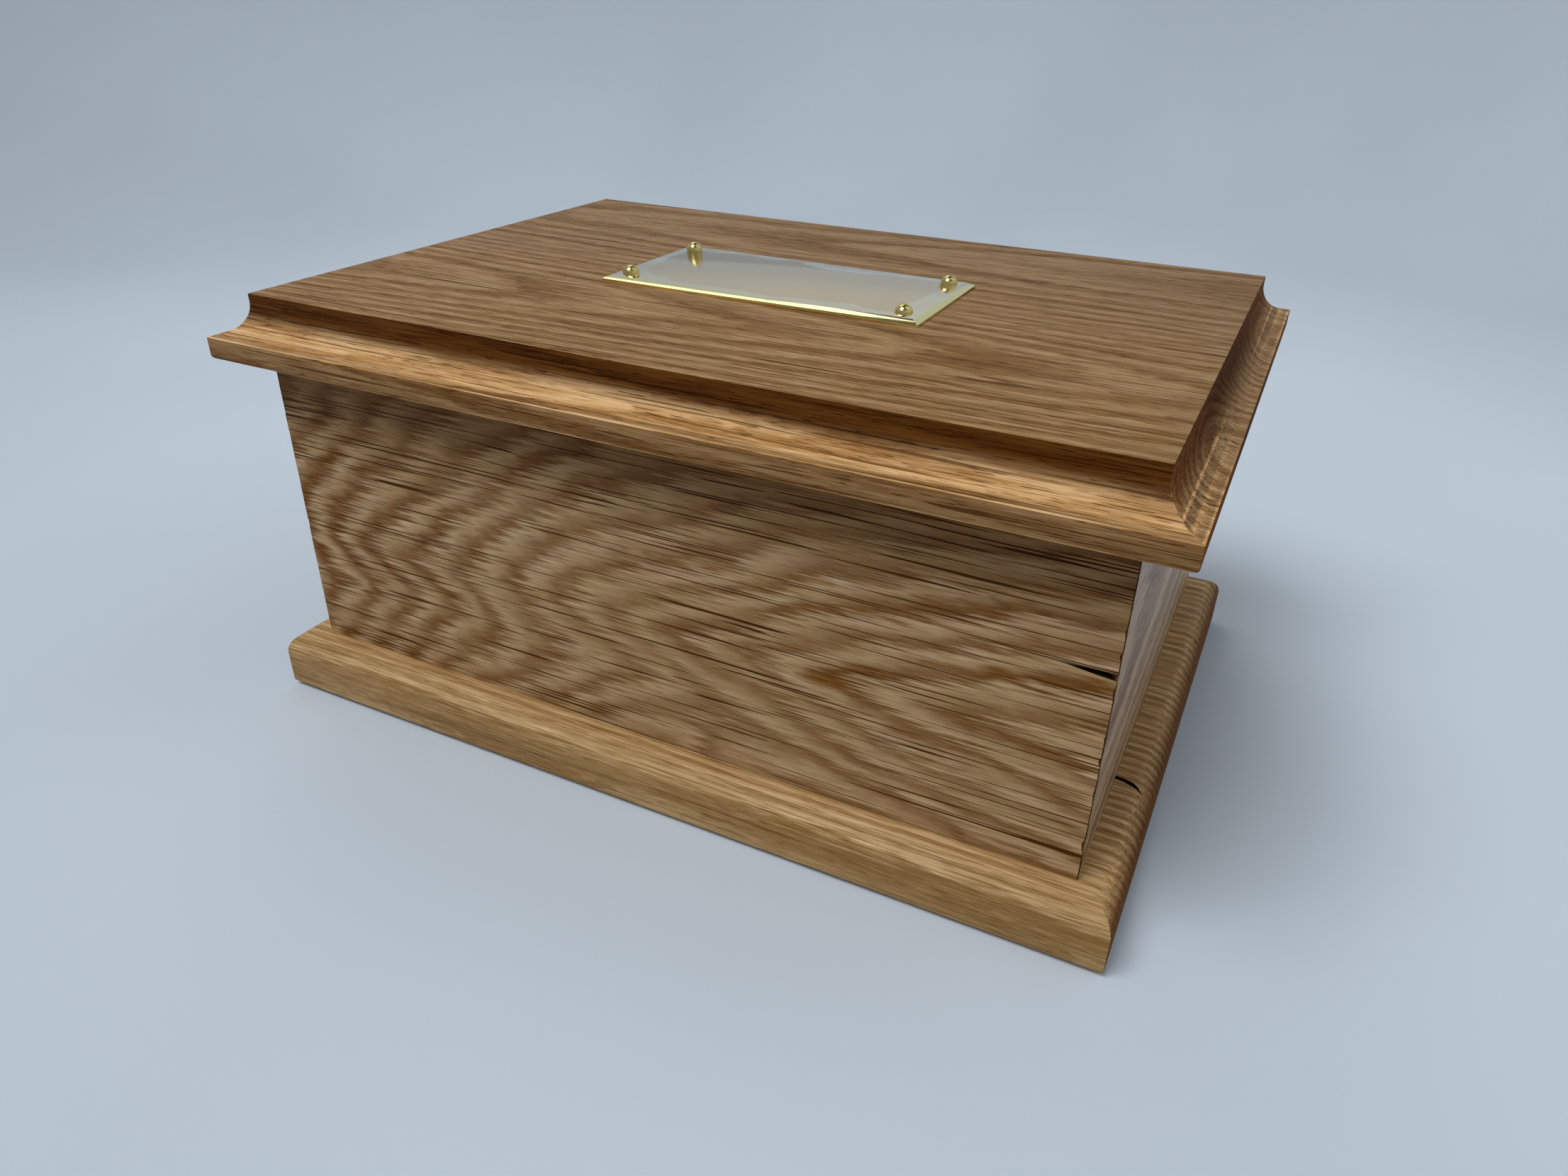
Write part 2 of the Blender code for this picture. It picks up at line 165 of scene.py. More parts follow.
# ---- oak: growth rings --------------------------------------------------------------------------
def growth_rings_group():
    """Which growth ring a point lies in, for a board sawn from a slightly tapering log.

    Place is in millimetres with X along the grain, Y across the board and Z through it. Heart Across
    and Heart Depth say where the log's heart runs, and Taper how fast the rings climb along the board.
    """
    inputs = {
        "Place": (VECTOR, None),
        "Heart Across": (FLOAT, 0.0),
        "Heart Depth": (FLOAT, 45.0),
        "Taper": (FLOAT, 0.03),
        "Pitch": (FLOAT, 3.0),
        "Wobble": (FLOAT, 0.8),
    }
    net, given, result = new_group("growth_rings", "ShaderNodeTree", inputs, {"Rings": FLOAT})
    along, across, depth = net.split(given["Place"])
    off_heart = net.math("SUBTRACT", across, given["Heart Across"])
    climb = net.times(along, given["Taper"])
    deep = net.math("ADD", net.math("ADD", depth, given["Heart Depth"]), climb)
    square = net.times(off_heart, off_heart)
    radius = net.math("SQRT", net.math("MULTIPLY_ADD", deep, deep, square))
    wander = net.noise(net.scaled(given["Place"], (1 / 75, 1 / 22, 1 / 22)), detail=1.5)
    wander = net.swing(wander, given["Wobble"])
    rings = net.math("ADD", net.math("DIVIDE", radius, given["Pitch"]), wander)
    net.feed(result.inputs["Rings"], rings)
    return net.tree


FIGURE_CREST = 57.0            # height where the front board's rings turn back, in mm
FIGURE_CREST_ROUND = 4.0       # how softly they turn there, in mm
FIGURE_HOLLOW = 15.0           # how far below the crest they turn again at the left end, in mm
FIGURE_HOLLOW_ROUND = 5.0
FIGURE_HOLLOW_ENDS = (-20.0, 60.0)     # where along the board the second turn fades out, in mm
FIGURE_MARCH = 0.0470          # rings for each mm along the board, at its middle
FIGURE_SPREAD = -0.0000895     # how their spacing widens from left to right
FIGURE_SLOPE = 0.088           # how strongly the rings slope away from the crest, at the middle
FIGURE_SLOPE_GAIN = 0.0003


def rippled_figure_group():
    """The front board's rings: a wild cut that points left at its crest and right below it.

    Place is in millimetres with X along the grain and Y up the board.
    """
    inputs = {"Place": (VECTOR, None), "Wobble": (FLOAT, 0.8)}
    net, given, result = new_group("rippled_figure", "ShaderNodeTree", inputs, {"Rings": FLOAT})
    along, up, _ = net.split(given["Place"])
    march = net.math("MULTIPLY_ADD", along, FIGURE_MARCH, net.times(net.times(along, along), FIGURE_SPREAD))
    slope = net.math("MULTIPLY_ADD", along, FIGURE_SLOPE_GAIN, FIGURE_SLOPE)
    over = net.math("SUBTRACT", up, FIGURE_CREST)
    above = net.math("MAXIMUM", over, 0.0)
    above = net.math("SQRT", net.math("MULTIPLY_ADD", above, above, FIGURE_CREST_ROUND ** 2))
    above = net.math("SUBTRACT", above, FIGURE_CREST_ROUND)
    below = net.math("MAXIMUM", net.times(over, -1.0), 0.0)
    past = net.math("SMOOTH_MAX", net.math("SUBTRACT", below, FIGURE_HOLLOW), 0.0, FIGURE_HOLLOW_ROUND)
    folded = net.math("SUBTRACT", below, net.times(past, net.grade(along, *FIGURE_HOLLOW_ENDS, 2.0, 0.0)))
    lift = net.math("ADD", above, folded)
    wander = net.noise(net.scaled(given["Place"], (1 / 45, 1 / 17, 1 / 30)), detail=2.0)
    wander = net.swing(wander, given["Wobble"])
    rings = net.math("SUBTRACT", march, net.times(slope, lift))
    net.feed(result.inputs["Rings"], net.math("ADD", rings, wander))
    return net.tree


# ---- oak: the surface ---------------------------------------------------------------------------
PORE_SHADE = 0.55              # how dark pores and checks are, as shares of the early wood's colour
CHECK_SHADE = 0.42
END_GRAIN_TINT = (0.32, 0.20, 0.12, 1)
ROUTED_EDGE_TINT = (0.33, 0.19, 0.05, 1)
# painted highlight: how many times brighter the moulding's ledge is made
PAINTED_LEDGE_HIGHLIGHT_GAIN = 2.0
# painted shade: darkens the side boards towards the lid, standing for the shadow under its overhang
PAINTED_LID_SHADE_TINT = (0.42, 0.32, 0.20, 1)


def grain_noises(net, place):
    """Unevenness drawn out along the grain: single fibres, streaks, ragged ring edges, slow drift."""
    fibre = net.noise(net.scaled(place, (1 / 13, 1 / 0.40, 1 / 0.40)), detail=2.0, roughness=0.6)
    streak = net.noise(net.scaled(place, (1 / 24, 1 / 1.0, 1 / 1.0), (7, 3, 5)), detail=2.0, roughness=0.6)
    jag = net.noise(net.scaled(place, (1 / 7, 1 / 2.2, 1 / 2.2), (2, 6, 3)), detail=1.0)
    drift = net.noise(net.scaled(place, (1 / 120, 1 / 14, 1 / 14), (3, 9, 4)), detail=1.0)
    return fibre, streak, jag, drift


def early_wood(net, given, fibre, streak, jag, drift):
    """The porous early wood, which starts sharply in each ring and thins out into the late wood."""
    ragged = net.swing(jag, 0.5, net.math("SUBTRACT", streak, 0.5))
    ragged = net.swing(fibre, 0.9, ragged)
    rings = net.math("MULTIPLY_ADD", ragged, given["Feather"], given["Rings"])
    phase = net.math("FRACT", rings)
    starts = net.grade(phase, 0.0, given["Ring Edge"])
    thins = net.grade(phase, given["Fade From"], given["Fade To"], 1.0, 0.0)
    chance = net.add("ShaderNodeTexWhiteNoise", {1: net.math("FLOOR", rings)}, noise_dimensions="1D")
    vigour = net.grade(chance.outputs[0], 0, 1, 0.7, 1.0)
    early = net.times(net.times(starts, thins), vigour)
    return net.times(early, net.grade(drift, 0.35, 0.6, given["Faintest"], given["Fullest"]))


def fibre_tint(net, given, fibre, streak, drift):
    """A tint that wanders along the board and from fibre to fibre. Darker oak is also redder."""
    tone = net.swing(drift, given["Tone Drift"], 1.0)
    tone = net.swing(fibre, 1.05, tone)
    tone = net.swing(streak, 0.85, tone)
    tone = net.math("MAXIMUM", tone, 0.1)
    return net.join(tone, net.math("POWER", tone, 1.4), net.math("POWER", tone, 2.2))


def open_pores(net, place, early):
    """Short dark dashes, close together in the early wood."""
    dashes = net.noise(net.scaled(place, (1 / 6.5, 1 / 0.30, 1 / 0.30), (1, 8, 2)), detail=1.0)
    edge = net.grade(early, 0.0, 0.8, 0.665, 0.575, smooth=False)
    return net.grade(net.math("SUBTRACT", dashes, edge), 0.0, 0.05)


def hairline_checks(net, place, drift, strength):
    """Long thin cracks that sway a little across the grain."""
    sway = net.swing(drift, 5.0)
    thread = net.scaled(place, (1 / 55, 1 / 0.52, 1 / 0.52), (5, 1, 6))
    thread = net.add("ShaderNodeVectorMath", {0: thread, 1: net.join(0, sway, sway)}, operation="ADD")
    thread = net.noise(thread.outputs[0], detail=0.0)
    return net.times(net.grade(thread, 0.655, 0.71), strength)


def local_tints(net, given, colour):
    """The colour as it changes on end grain and on the moulded edges, with a painted highlight on the ledges
    and painted shade under the lid.
    """
    # sawn across, the wood drinks more oil and goes darker
    colour = net.blend(given["End Grain"], colour, END_GRAIN_TINT, "MULTIPLY")
    # the upright part of a moulding is darker than its ledge, which a painted highlight makes pale
    colour = net.blend(given["Routed Edge"], colour, ROUTED_EDGE_TINT, "MULTIPLY")
    colour = net.blend(given["Painted Ledge Highlight"], colour, net.shade(colour, PAINTED_LEDGE_HIGHLIGHT_GAIN))
    # painted shade: the side boards darken towards the lid, standing for its shadow
    return net.blend(given["Shaded"], colour, PAINTED_LID_SHADE_TINT, "MULTIPLY")


def oak_surface_group():
    """Colour, roughness and height of oiled oak, from its rings."""
    inputs = {
        "Place": (VECTOR, None),
        "Rings": (FLOAT, 0.0),
        "End Grain": (FLOAT, 0.0),
        "Early Wood": (COLOUR, (0.2, 0.1, 0.04, 1)),
        "Late Wood": (COLOUR, (0.45, 0.3, 0.17, 1)),
        "Contrast": (FLOAT, 0.9),
        "Feather": (FLOAT, 0.6),
        "Pores": (FLOAT, 0.7),
        "Hairlines": (FLOAT, 0.5),
        "Ring Edge": (FLOAT, 0.10),
        "Fade From": (FLOAT, 0.38),
        "Fade To": (FLOAT, 0.82),
        "Faintest": (FLOAT, 0.6),
        "Fullest": (FLOAT, 1.0),
        "Tone Drift": (FLOAT, 0.40),
        "Routed Edge": (FLOAT, 0.0),
        "Painted Ledge Highlight": (FLOAT, 0.0),
        "Shaded": (FLOAT, 0.0),
        "Gloss": (FLOAT, 0.45),
    }
    outputs = {"Colour": COLOUR, "Roughness": FLOAT, "Height": FLOAT}
    net, given, result = new_group("oak_surface", "ShaderNodeTree", inputs, outputs)
    place = given["Place"]
    fibre, streak, jag, drift = grain_noises(net, place)
    early = early_wood(net, given, fibre, streak, jag, drift)
    pores = open_pores(net, place, early)
    checks = hairline_checks(net, place, drift, given["Hairlines"])

    dark = net.math("MULTIPLY", early, given["Contrast"], clamp=True)
    colour = net.blend(dark, given["Late Wood"], given["Early Wood"])
    colour = net.blend(1.0, colour, fibre_tint(net, given, fibre, streak, drift), "MULTIPLY")
    shown = net.times(pores, given["Pores"])
    colour = net.blend(shown, colour, net.shade(given["Early Wood"], PORE_SHADE))
    colour = net.blend(checks, colour, net.shade(given["Early Wood"], CHECK_SHADE))
    net.feed(result.inputs["Colour"], local_tints(net, given, colour))

    open_wood = net.math("MAXIMUM", pores, checks)
    rough = net.swing(streak, 0.16, given["Gloss"])
    rough = net.math("MULTIPLY_ADD", given["End Grain"], 0.3, rough)
    rough = net.math("MULTIPLY_ADD", open_wood, 0.25, rough, clamp=True)
    net.feed(result.inputs["Roughness"], rough)
    net.feed(result.inputs["Height"], net.math("MULTIPLY_ADD", open_wood, -0.8, net.times(fibre, 0.5)))
    return net.tree


GROWTH_RINGS = growth_rings_group()
RIPPLED_FIGURE = rippled_figure_group()
OAK_SURFACE = oak_surface_group()


# ---- oak: one material for each board -----------------------------------------------------------
def new_material(name):
    """A material with a Principled shader. Gives the material, its Net and the shader."""
    material = bpy.data.materials.new(name)
    material.use_nodes = True
    return material, Net(material.node_tree), material.node_tree.nodes["Principled BSDF"]


def turned_axes(net, vector, axes):
    """The vector with its parts put in another order, such as YZX."""
    parts = dict(zip("XYZ", net.split(vector)))
    return net.join(*(parts[axis] for axis in axes))


LID_TOP = 131.9                # heights, in mm
# painted highlight: the pale band round the lid is painted light, ending over the next heights
BAND_TOP = (119.0, 122.0)      # over these the pale band round the lid ends
COVE_BACK = (121.0, 126.0)     # over these the cove goes dark
# painted shade, standing for the lid's shadow, darkens the side boards over the next heights
PAINTED_LID_SHADE_HEIGHTS = (80.0, 112.0)         # over these the side boards darken towards the lid


def routing_masks(net, side, height, strength):
    """Masks of a moulding's upright part and of its ledge, which a painted highlight makes pale, on its
    front and back edges.

    side says how far a face leans to the front or back.
    """
    leaning = net.times(net.grade(side, 0.02, 0.2), net.grade(side, 0.6, 0.93, strength, 0.0))
    band = net.times(net.grade(side, 0.6, 0.93), net.grade(height, *BAND_TOP, 0.15 * strength, 0.0))
    below_top = net.grade(height, LID_TOP - 1.0, LID_TOP - 0.4, 1.0, 0.0)
    ledge_highlight = net.times(net.math("MAXIMUM", leaning, band), below_top)
    edge = net.times(net.grade(side, 0.75, 0.97, 0.0, strength), net.grade(height, *COVE_BACK, 0.35, 1.0))
    return edge, ledge_highlight


def oak(name, axes, rings, early, late, shift=(0, 0, 0), figure="growth", routed=0.0, sheen=0.08,
        shaded=0.0, **surface):
    """Oiled oak. axes names the directions along the grain, across the board and through it.

    routed says how strongly the moulded front and back edges differ from the rest of the board, their ledge
    made pale by a painted highlight, and the lid-shade number how far painted shade, standing for the lid's
    shadow, darkens a side board towards the lid.
    """
    material, net, shader = new_material(name)
    coordinates = net.add("ShaderNodeTexCoord").outputs
    place = turned_axes(net, net.scaled(coordinates["Object"], (1 / MM,) * 3), axes)
    own = net.scaled(place, (1, 1, 1), shift)
    group = net.add("ShaderNodeGroup", node_tree=GROWTH_RINGS if figure == "growth" else RIPPLED_FIGURE)
    net.feed(group.inputs["Place"], place if figure == "rippled" else own)
    for label, value in rings.items():
        group.inputs[label].default_value = value

    facing = net.split(turned_axes(net, coordinates["Normal"], axes))
    height = net.math("DIVIDE", net.split(coordinates["Object"])[2], MM)
    edge, ledge_highlight = routing_masks(net, net.math("ABSOLUTE", facing[1]), height, routed)
    skin = net.add("ShaderNodeGroup", {
        "Place": own,
        "Rings": group.outputs["Rings"],
        "End Grain": net.grade(net.math("ABSOLUTE", facing[0]), 0.35, 0.95),
        "Routed Edge": edge,
        # the ledge's paleness is a painted highlight
        "Painted Ledge Highlight": ledge_highlight,
        # painted shade towards the lid, standing for its shadow on the side boards
        "Shaded": net.grade(height, *PAINTED_LID_SHADE_HEIGHTS, 0.0, shaded),
        "Early Wood": (*early, 1),
        "Late Wood": (*late, 1),
    }, node_tree=OAK_SURFACE)
    for label, value in surface.items():
        skin.inputs[label.replace("_", " ").title()].default_value = value

    net.feed(shader.inputs["Base Color"], skin.outputs["Colour"])
    net.feed(shader.inputs["Roughness"], skin.outputs["Roughness"])
    net.feed(shader.inputs["Normal"], net.bump(0.35, 0.12, skin.outputs["Height"]))
    shader.inputs["IOR"].default_value = 1.5
    shader.inputs["Specular IOR Level"].default_value = sheen
    return material


RED_BROWN = (0.190, 0.060, 0.003)
TAN = (0.510, 0.308, 0.142)
HONEY = (0.630, 0.375, 0.160)
AMBER = (0.310, 0.140, 0.028)
LID_DARK = (0.195, 0.073, 0.013)
LID_LIGHT = (0.410, 0.228, 0.094)
LID_BACK_DARK = (0.185, 0.070, 0.013)
LID_BACK_LIGHT = (0.385, 0.212, 0.086)
INSIDE_DARK = (0.28, 0.17, 0.085)
INSIDE_LIGHT = (0.44, 0.31, 0.18)

# painted shade: the crack walls are coloured near-black to stand for the dark inside a narrow crack
PAINTED_CRACK_SHADE_DARK = (0.010, 0.005, 0.002)
PAINTED_CRACK_SHADE_LIGHT = (0.030, 0.015, 0.006)

LID_SURFACE = {
    "contrast": 0.9, "feather": 0.6, "gloss": 0.5, "sheen": 0.05, "routed": 1.0,
    "ring_edge": 0.06, "fade_from": 0.15, "fade_to": 0.9,
    "tone_drift": 0.0, "faintest": 0.78, "fullest": 0.82,
}
BASE_SURFACE = {"feather": 0.6, "pores": 0.45, "hairlines": 0.4}
INSIDE_RINGS = {"Heart Across": 200.0, "Heart Depth": 90.0, "Taper": 0.02, "Pitch": 3.0, "Wobble": 1.0}
BLOCK_RINGS = INSIDE_RINGS | {"Heart Across": 260.0, "Pitch": 2.6}
INSIDE_SURFACE = {"contrast": 0.7, "pores": 0.5, "gloss": 0.6}

# the side boards take painted shade towards the lid, standing for its shadow
WOOD = {
    "front_board": oak(
        "oak_front_board", "XZY", {"Wobble": 1.5},
        RED_BROWN, TAN, figure="rippled", contrast=1.0, feather=0.8, pores=0.4, hairlines=1.0,
        ring_edge=0.5, fade_from=0.5, fade_to=1.0, shaded=0.9,
    ),
    "back_board": oak(
        "oak_back_board", "XZY",
        {"Heart Across": 52.0, "Heart Depth": 62.0, "Taper": -0.055, "Pitch": 3.6, "Wobble": 1.6},
        RED_BROWN, TAN, (410, 0, 30), contrast=0.8, feather=0.8, shaded=0.8,
    ),
    "right_end_board": oak(
        "oak_right_end_board", "YZX",
        {"Heart Across": 95.0, "Heart Depth": 20.0, "Taper": 0.03, "Pitch": 3.4, "Wobble": 1.2},
        RED_BROWN, TAN, (230, 0, 60), contrast=1.0, feather=0.6, gloss=0.32, sheen=0.4, shaded=0.5,
    ),
    "left_end_board": oak(
        "oak_left_end_board", "YZX",
        {"Heart Across": 40.0, "Heart Depth": 55.0, "Taper": -0.045, "Pitch": 3.4, "Wobble": 1.4},
        RED_BROWN, TAN, (720, 0, 0), contrast=0.75, feather=0.7, shaded=0.8,
    ),
    "lid_front": oak(
        "oak_lid_front", "XYZ",
        {"Heart Across": -44.0, "Heart Depth": -87.0, "Taper": 0.049, "Pitch": 3.2, "Wobble": 1.0},
        LID_DARK, LID_LIGHT, pores=0.9, hairlines=0.8, **LID_SURFACE,
    ),
    "lid_back": oak(
        "oak_lid_back", "XYZ",
        {"Heart Across": 60.0, "Heart Depth": -72.0, "Taper": -0.03, "Pitch": 4.0, "Wobble": 1.2},
        LID_BACK_DARK, LID_BACK_LIGHT, pores=0.8, hairlines=0.6, **LID_SURFACE,
    ),
    "base_front": oak(
        "oak_base_front", "XYZ",
        {"Heart Across": -330.0, "Heart Depth": 20.0, "Taper": 0.01, "Pitch": 3.6, "Wobble": 1.4},
        AMBER, HONEY, (90, 0, 0), contrast=0.8, **BASE_SURFACE,
    ),
    "base_back": oak(
        "oak_base_back", "XYZ",
        {"Heart Across": 300.0, "Heart Depth": 60.0, "Taper": 0.02, "Pitch": 4.1, "Wobble": 1.4},
        AMBER, HONEY, (350, 0, 0), contrast=0.9, **BASE_SURFACE,
    ),
    # near-black oak for the crack walls, painted shade standing for the dark inside a narrow crack
    "split": oak(
        "oak_split", "XZY", {"Pitch": 1.2},
        PAINTED_CRACK_SHADE_DARK, PAINTED_CRACK_SHADE_LIGHT, contrast=0.8, gloss=0.9, sheen=0.0,
    ),
    "inside": oak(
        "oak_inside", "XYZ", INSIDE_RINGS,
        INSIDE_DARK, INSIDE_LIGHT, (50, 0, 0), **INSIDE_SURFACE,
    ),
    "inside_across": oak(
        "oak_inside_across", "YXZ", INSIDE_RINGS,
        INSIDE_DARK, INSIDE_LIGHT, (500, 0, 0), **INSIDE_SURFACE,
    ),
    "inside_upright": oak(
        "oak_inside_upright", "ZXY", BLOCK_RINGS,
        INSIDE_DARK, INSIDE_LIGHT, (900, 0, 0), **INSIDE_SURFACE,
    ),
}


# ---- brass and baize ----------------------------------------------------------------------------
def brass_polish_group():
    """Polished brass: clean metal, dulled here and there by handling, with faint hair scratches."""
    inputs = {
        "Place": (VECTOR, None),
        "Bright": (COLOUR, (0.9, 0.8, 0.5, 1)),
        "Dull": (COLOUR, (0.7, 0.6, 0.4, 1)),
        "Haze": (FLOAT, 0.0),
        "Polish": (FLOAT, 0.08),
    }
    outputs = {"Colour": COLOUR, "Roughness": FLOAT, "Height": FLOAT}
    net, given, result = new_group("brass_polish", "ShaderNodeTree", inputs, outputs)
    cloud = net.noise(net.scaled(given["Place"], (1 / 9, 1 / 7, 1 / 7)), detail=2.0)
    cloud = net.grade(cloud, 0.42, 0.75, 0.0, 0.35)
    scratch = net.noise(net.scaled(given["Place"], (1 / 18, 1 / 0.12, 1 / 0.12)), detail=0.0)
    scratch = net.grade(scratch, 0.68, 0.78)
    worn = net.math("MAXIMUM", given["Haze"], cloud)
    rough = net.math("MULTIPLY_ADD", worn, 0.10, given["Polish"])
    rough = net.math("MULTIPLY_ADD", scratch, 0.08, rough)
    net.feed(result.inputs["Colour"], net.blend(worn, given["Bright"], given["Dull"]))
    net.feed(result.inputs["Roughness"], rough)
    net.feed(result.inputs["Height"], net.math("MULTIPLY", scratch, -1.0))
    return net.tree


BRASS_POLISH = brass_polish_group()


def brass(name, bright, dull, polish, haze=None, bevel=None):
    """Brass of a given colour and polish.

    haze builds the mask of a dulled patch, and bevel is the colour of freshly cut sloping edges.
    """
    material, net, shader = new_material(name)
    place = net.scaled(net.add("ShaderNodeTexCoord").outputs["Object"], (1 / MM,) * 3)
    skin = net.add("ShaderNodeGroup", node_tree=BRASS_POLISH)
    net.feed(skin.inputs["Place"], place)
    skin.inputs["Bright"].default_value = (*bright, 1)
    skin.inputs["Dull"].default_value = (*dull, 1)
    skin.inputs["Polish"].default_value = polish
    if haze:
        net.feed(skin.inputs["Haze"], haze(net, place))
    colour = skin.outputs["Colour"]
    if bevel:
        upward = net.split(net.add("ShaderNodeTexCoord").outputs["Normal"])[2]
        colour = net.blend(net.grade(upward, 0.93, 0.98, 1.0, 0.0), colour, (*bevel, 1))
    net.feed(shader.inputs["Base Color"], colour)
    net.feed(shader.inputs["Roughness"], skin.outputs["Roughness"])
    net.feed(shader.inputs["Normal"], net.bump(0.05, 0.02, skin.outputs["Height"]))
    shader.inputs["Metallic"].default_value = 1.0
    return material


FILM_HALF_LENGTH = 43.5        # in mm
FILM_HALF_WIDTH = 19.0


def lacquer_film(net, place):
    """The clear film left on the plate's face, a wavy-edged patch that stops short of the bevel."""
    along, across, _ = net.split(place)
    wave = net.noise(net.scaled(place, (1 / 13, 1 / 13, 1)), detail=0.5)
    wave = net.swing(wave, 11.0)
    end = net.math("SUBTRACT", net.math("ABSOLUTE", along), FILM_HALF_LENGTH)
    side = net.math("SUBTRACT", net.math("ABSOLUTE", across), FILM_HALF_WIDTH)
    outside = net.math("ADD", net.math("SMOOTH_MAX", end, side, 8.0), wave)
    return net.grade(outside, -0.6, 0.4, 1.0, 0.0)


PLATE_BRASS = brass("plate_brass_polished", (0.96, 0.82, 0.60), (0.90, 0.69, 0.43), 0.07,
                    haze=lacquer_film, bevel=(0.97, 0.83, 0.36))
PIN_BRASS = brass("pin_brass_domed", (0.83, 0.62, 0.21), (0.60, 0.42, 0.14), 0.16)
SCREW_BRASS = brass("screw_brass_plain", (0.78, 0.60, 0.27), (0.48, 0.35, 0.15), 0.28)


def baize():
    """Green baize: a felted wool, with a nap that catches light at the edges."""
    material, net, shader = new_material("baize_green")
    place = net.scaled(net.add("ShaderNodeTexCoord").outputs["Object"], (1 / MM,) * 3)
    nap = net.noise(net.scaled(place, (1 / 0.5,) * 3), detail=3.0, roughness=0.7)
    patch = net.noise(net.scaled(place, (1 / 18, 1 / 26, 1)), detail=1.0)
    tone = net.math("ADD", net.grade(nap, 0.3, 0.7, 0.7, 1.25), net.grade(patch, 0.3, 0.7, -0.1, 0.1))
    net.feed(shader.inputs["Base Color"], net.shade((0.030, 0.085, 0.050), tone))
    net.feed(shader.inputs["Roughness"], net.grade(nap, 0.3, 0.7, 1.0, 0.85))
    net.feed(shader.inputs["Normal"], net.bump(0.6, 0.3, nap))
    shader.inputs["Sheen Weight"].default_value = 0.3
    return material


BAIZE = baize()


# ---- meshes -------------------------------------------------------------------------------------
def piece_from(name, mesh, material=None):
    """A finished piece at the origin, smooth where its faces run on and sharp at its edges."""
    if material:
        mesh.materials.clear()
        mesh.materials.append(material)
    mesh.shade_smooth()
    mesh.set_sharp_from_angle(angle=SMOOTH_ANGLE)
    piece = bpy.data.objects.new(name, mesh)
    bpy.context.scene.collection.objects.link(piece)
    return piece


def mesh_from(bm, name):
    bmesh.ops.recalc_face_normals(bm, faces=bm.faces[:])
    mesh = bpy.data.meshes.new(name)
    bm.to_mesh(mesh)
    bm.free()
    return mesh


def grown(name, tree, **sizes):
    """Runs a Geometry Nodes tree once and gives the result as a plain mesh."""
    holder = bpy.data.objects.new(name, bpy.data.meshes.new(name))
    bpy.context.scene.collection.objects.link(holder)
    modifier = holder.modifiers.new("make", "NODES")
    modifier.node_group = tree
    for item in tree.interface.items_tree:
        label = item.name.lower().replace(" ", "_")
        if item.in_out == "INPUT" and label in sizes:
            modifier[item.identifier] = sizes[label]
    graph = bpy.context.evaluated_depsgraph_get()
    mesh = bpy.data.meshes.new_from_object(holder.evaluated_get(graph), depsgraph=graph)
    bpy.data.objects.remove(holder)
    return mesh


def finished(net, geometry, material):
    """How both Geometry Nodes trees end: real geometry with its material."""
    geometry = net.add("GeometryNodeRealizeInstances", {0: geometry}).outputs[0]
    settings = {"Geometry": geometry, "Material": material}
    return net.add("GeometryNodeSetMaterial", settings).outputs[0]


def middle(low, high):
    return (low + high) / 2


# ---- moulded boards: the lid, the base and the plate --------------------------------------------
def moulded_board_tree():
    """A rectangular board with a moulding run round its top edge.

    The board starts as a plain block, Band high. Its top face is then drawn in and up along a quarter
    circle in Steps steps: hollow for a cove, round for a round-over, and one step for a bevel. The
    last draw is straight up, by Upright.
    """
    inputs = {
        "Length": (FLOAT, 0.2),
        "Width": (FLOAT, 0.1),
        "Band": (FLOAT, 0.006),
        "Reach": (FLOAT, 0.009),
        "Rise": (FLOAT, 0.009),
        "Upright": (FLOAT, 0.0),
        "Steps": ("NodeSocketInt", 8),
        "Hollow": ("NodeSocketBool", False),
        "Finish": (MATERIAL, None),
    }
    net, given, result = new_group("moulded_board", "GeometryNodeTree", inputs, {"Geometry": GEOMETRY})
    size = net.join(given["Length"], given["Width"], given["Band"])
    block = net.add("GeometryNodeMeshCube", {"Size": size}).outputs["Mesh"]
    half_band = net.join(0, 0, net.times(given["Band"], 0.5))
    block = net.add("GeometryNodeTransform", {"Geometry": block, "Translation": half_band})

    start = net.add("GeometryNodeRepeatInput")
    finish = net.add("GeometryNodeRepeatOutput")
    start.pair_with_output(finish)
    net.feed(start.inputs["Iterations"], given["Steps"])
    net.feed(start.inputs["Geometry"], block.outputs[0])

    def on_curve(step):
        """How far in and how far up the moulding has come after a number of steps."""
        angle = net.times(net.math("DIVIDE", step, given["Steps"]), math.pi / 2)
        sine = net.math("SINE", angle)
        versed = net.math("SUBTRACT", 1.0, net.math("COSINE", angle))
        inward = net.choose(given["Hollow"], versed, sine)
        upward = net.choose(given["Hollow"], sine, versed)
        return net.times(inward, given["Reach"]), net.times(upward, given["Rise"])

    inset, height = on_curve(start.outputs["Iteration"])
    next_inset, next_height = on_curve(net.math("ADD", start.outputs["Iteration"], 1.0))
    geometry = draw_up(net, start.outputs["Geometry"], net.math("ADD", given["Band"], height),
                       net.math("SUBTRACT", next_inset, inset), net.math("SUBTRACT", next_height, height))
    net.feed(finish.inputs["Geometry"], geometry)

    shoulder = net.math("ADD", given["Band"], given["Rise"])
    geometry = draw_up(net, finish.outputs["Geometry"], shoulder, 0.0, given["Upright"])
    net.feed(result.inputs["Geometry"], finished(net, geometry, given["Finish"]))
    return net.tree


